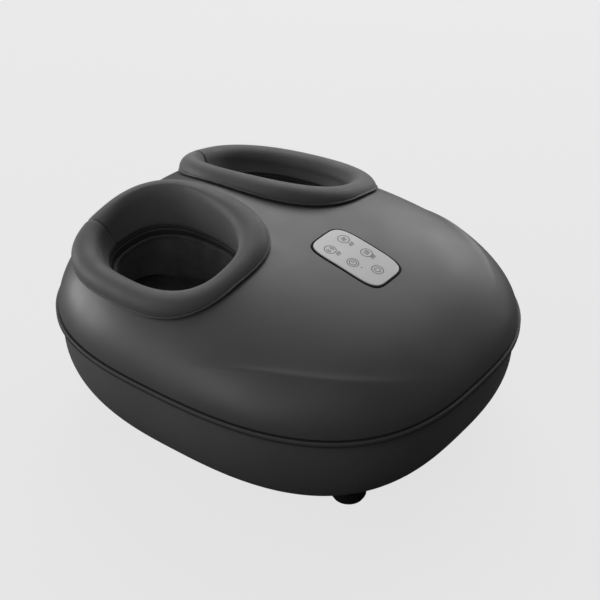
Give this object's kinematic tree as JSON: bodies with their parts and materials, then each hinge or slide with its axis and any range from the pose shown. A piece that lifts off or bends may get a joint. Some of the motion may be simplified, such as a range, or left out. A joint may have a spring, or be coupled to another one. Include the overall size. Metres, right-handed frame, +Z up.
{
  "type": "foot massager",
  "caption": "Electric foot massager: domed housing on a tub, padded collars round the foot openings, a touch panel, and kneading heads turned by worm drives inside.",
  "frame": {"origin": "on the floor, under the middle of the outline of the rim band", "axes": "+Z up, -Y towards the toes and the control panel, +X to the right of a user who sits behind the heel end"},
  "size_m": [0.38, 0.439, 0.2233],
  "materials": {
    "cover_plastic": "satin moulded plastic, mid dark grey",
    "tub_plastic": "satin moulded plastic, darker grey",
    "collar_leather": "soft synthetic leather over foam, charcoal",
    "lining_cloth": "close-knit dark cloth",
    "brushed_metal": "fine satin metal",
    "black_plastic": "fine matt",
    "rubber": "matt",
    "inner_plastic": "moulded, unpainted",
    "gear_plastic": "smooth moulded",
    "head_plastic": "smooth moulded",
    "steel": "bright",
    "board": "lacquered board",
    "airbag_film": "soft film"
  },
  "bodies": {
    "housing": {"air_hose_left": "airbag_film", "air_hose_right": "airbag_film", "air_pump": "black_plastic", "airbag_left": "airbag_film", "airbag_right": "airbag_film", "chamber_roof_left": "black_plastic", "chamber_roof_right": "black_plastic", "collar_hoop_left": "black_plastic", "collar_hoop_right": "black_plastic", "collar_left": "collar_leather", "collar_right": "collar_leather", "control_board": "board", "control_frame": "black_plastic", "control_plate": "brushed_metal", "foot_front_left": "rubber", "foot_front_right": "rubber", "foot_rear_left": "rubber", "foot_rear_right": "rubber", "foot_screw_front_left": "steel", "foot_screw_front_right": "steel", "foot_screw_rear_left": "steel", "foot_screw_rear_right": "steel", "foot_tray_left": "inner_plastic", "foot_tray_right": "inner_plastic", "gear_case_left": "inner_plastic", "gear_case_right": "inner_plastic", "gear_lid_left": "inner_plastic", "gear_lid_right": "inner_plastic", "housing_screw_1": "steel", "housing_screw_2": "steel", "housing_screw_3": "steel", "housing_screw_4": "steel", "housing_screw_5": "steel", "housing_screw_6": "steel", "lining_left": "lining_cloth", "lining_right": "lining_cloth", "lower_housing": "tub_plastic", "main_board": "board", "motor_left": "steel", "motor_right": "steel", "power_inlet": "black_plastic", "upper_housing": "cover_plastic", "valve_block": "black_plastic"},
    "head_front_right": {"worm_wheel_front_right": "gear_plastic", "massage_head_front_right": "head_plastic", "head_screw_front_right": "steel"},
    "head_rear_right": {"worm_wheel_rear_right": "gear_plastic", "massage_head_rear_right": "head_plastic", "head_screw_rear_right": "steel"},
    "worm_right": {"worm_shaft_right": "gear_plastic"},
    "head_front_left": {"worm_wheel_front_left": "gear_plastic", "massage_head_front_left": "head_plastic", "head_screw_front_left": "steel"},
    "head_rear_left": {"worm_wheel_rear_left": "gear_plastic", "massage_head_rear_left": "head_plastic", "head_screw_rear_left": "steel"},
    "worm_left": {"worm_shaft_left": "gear_plastic"}
  },
  "joints": [
    {"name": "head_front_right_spin", "type": "hinge", "parent": "housing", "child": "head_front_right", "pos_m": [0.08398, -0.066, 0.042], "axis": [0, 0, 1], "continuous": true},
    {"name": "head_rear_right_spin", "type": "hinge", "parent": "housing", "child": "head_rear_right", "pos_m": [0.08398, 0.046, 0.042], "axis": [0, 0, 1], "continuous": true},
    {"name": "worm_right_spin", "type": "hinge", "parent": "housing", "child": "worm_right", "pos_m": [0.04498, -0.01, 0.042], "axis": [0, 1, 0], "continuous": true},
    {"name": "head_front_left_spin", "type": "hinge", "parent": "housing", "child": "head_front_left", "pos_m": [-0.08398, -0.066, 0.042], "axis": [0, 0, 1], "continuous": true},
    {"name": "head_rear_left_spin", "type": "hinge", "parent": "housing", "child": "head_rear_left", "pos_m": [-0.08398, 0.046, 0.042], "axis": [0, 0, 1], "continuous": true},
    {"name": "worm_left_spin", "type": "hinge", "parent": "housing", "child": "worm_left", "pos_m": [-0.04498, -0.01, 0.042], "axis": [0, 1, 0], "continuous": true}
  ],
  "couplings": [
    {"joint": "head_rear_right_spin", "follows": "head_front_right_spin", "ratio": -1},
    {"joint": "worm_right_spin", "follows": "head_front_right_spin", "ratio": -20},
    {"joint": "head_rear_left_spin", "follows": "head_front_left_spin", "ratio": -1},
    {"joint": "worm_left_spin", "follows": "head_front_left_spin", "ratio": -20}
  ]
}
